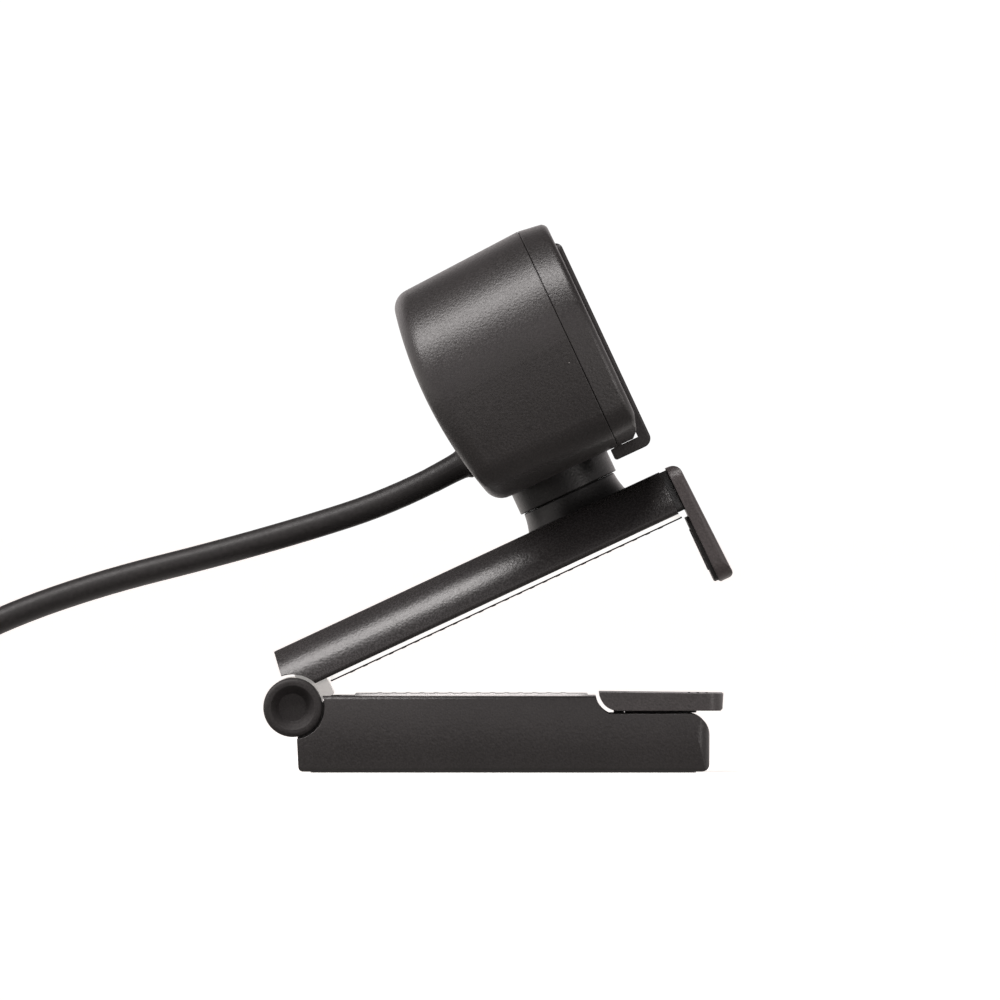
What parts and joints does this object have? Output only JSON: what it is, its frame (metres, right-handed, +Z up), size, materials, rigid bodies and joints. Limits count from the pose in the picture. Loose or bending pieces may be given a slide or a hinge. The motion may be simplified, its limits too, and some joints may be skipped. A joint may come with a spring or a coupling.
{
  "type": "webcam on folding clip",
  "caption": "Desk webcam: rounded head with privacy slider, turning on a short neck, on a folding two-jaw monitor clip that also stands on a table.",
  "frame": {"origin": "middle of the object on the surface that the clip's foot stands on, without the lead", "axes": "+X is the way the lens looks along the foot, +Y across the camera, +Z up"},
  "size_m": [0.204, 0.1147, 0.0928],
  "materials": {
    "housing": "fine-textured matt black plastic",
    "neck": "satin black plastic",
    "knob": "matt black plastic, dished",
    "inner_plastic": "plain black plastic",
    "face": "glossy black front panel",
    "trim": "turned black ring round the lens",
    "slider": "smooth black plastic shutter",
    "lens_glass": "coated glass",
    "light_pipe": "clear plastic",
    "rubber": "soft black rubber",
    "pale_pad": "pale foam tape and silicone pad",
    "brass": "turned brass",
    "steel": "plated steel",
    "cast_metal": "bare cast metal",
    "chip": "moulded chip packages",
    "board": "green circuit board",
    "cord_skin": "satin black PVC",
    "tie": "hook-and-loop strap",
    "plug_metal": "plated plug shell",
    "tongue": "pale contact tongue"
  },
  "bodies": {
    "foot": {"foot_shell": "housing", "foot_base_plate": "housing", "sole": "rubber", "foot_pad": "pale_pad", "tripod_insert": "brass", "foot_screws": "steel", "hinge_pin": "steel", "hinge_washers": "steel", "hinge_caps": "knob"},
    "flap": {"flap": "housing", "flap_pad": "rubber", "flap_pin": "steel"},
    "arm": {"hinge_knuckle": "cast_metal", "arm_cover": "housing", "arm_frame": "inner_plastic", "arm_screws": "steel", "arm_pad_tape": "pale_pad", "arm_pad": "rubber", "hook_lip": "housing", "hook_pad": "rubber", "neck_base": "neck", "swivel_bolt": "steel", "swivel_washer": "steel", "swivel_nut": "steel"},
    "head": {"neck_collar": "neck", "rear_shell": "housing", "front_bezel": "housing", "face_panel": "face", "lens_trim_ring": "trim", "lens_glass": "lens_glass", "lens_barrel": "inner_plastic", "lens_elements": "lens_glass", "lens_holder": "inner_plastic", "image_sensor": "chip", "main_board": "board", "board_chips": "chip", "microphones": "steel", "led_light_pipe": "light_pipe", "status_led": "light_pipe", "cable_connector": "inner_plastic", "inner_lead": "cord_skin", "shell_screws": "steel", "strain_relief": "cord_skin", "usb_cord": "cord_skin", "cord_tail": "cord_skin", "cord_coil": "cord_skin", "cord_tie": "tie", "plug_grip": "cord_skin", "plug_shell": "plug_metal", "plug_tongue": "tongue"},
    "slider": {"privacy_slider": "slider"}
  },
  "joints": [
    {"name": "arm_fold", "type": "hinge", "parent": "foot", "child": "arm", "pos_m": [-0.03482, 0, 0.01105], "axis": [0, -1, 0], "range_deg": [-15, 150]},
    {"name": "head_swivel", "type": "hinge", "parent": "arm", "child": "head", "pos_m": [0.01196, 0, 0.04737], "axis": [-0.4226, 0, 0.9063], "range_deg": [-180, 180]},
    {"name": "shutter_slide", "type": "slide", "parent": "head", "child": "slider", "axis": [0, 1, 0], "range_m": [0, 0.016]},
    {"name": "flap_fold", "type": "hinge", "parent": "foot", "child": "flap", "pos_m": [0.02048, 0, 0.0128], "axis": [0, -1, 0], "range_deg": [0, 32]}
  ]
}
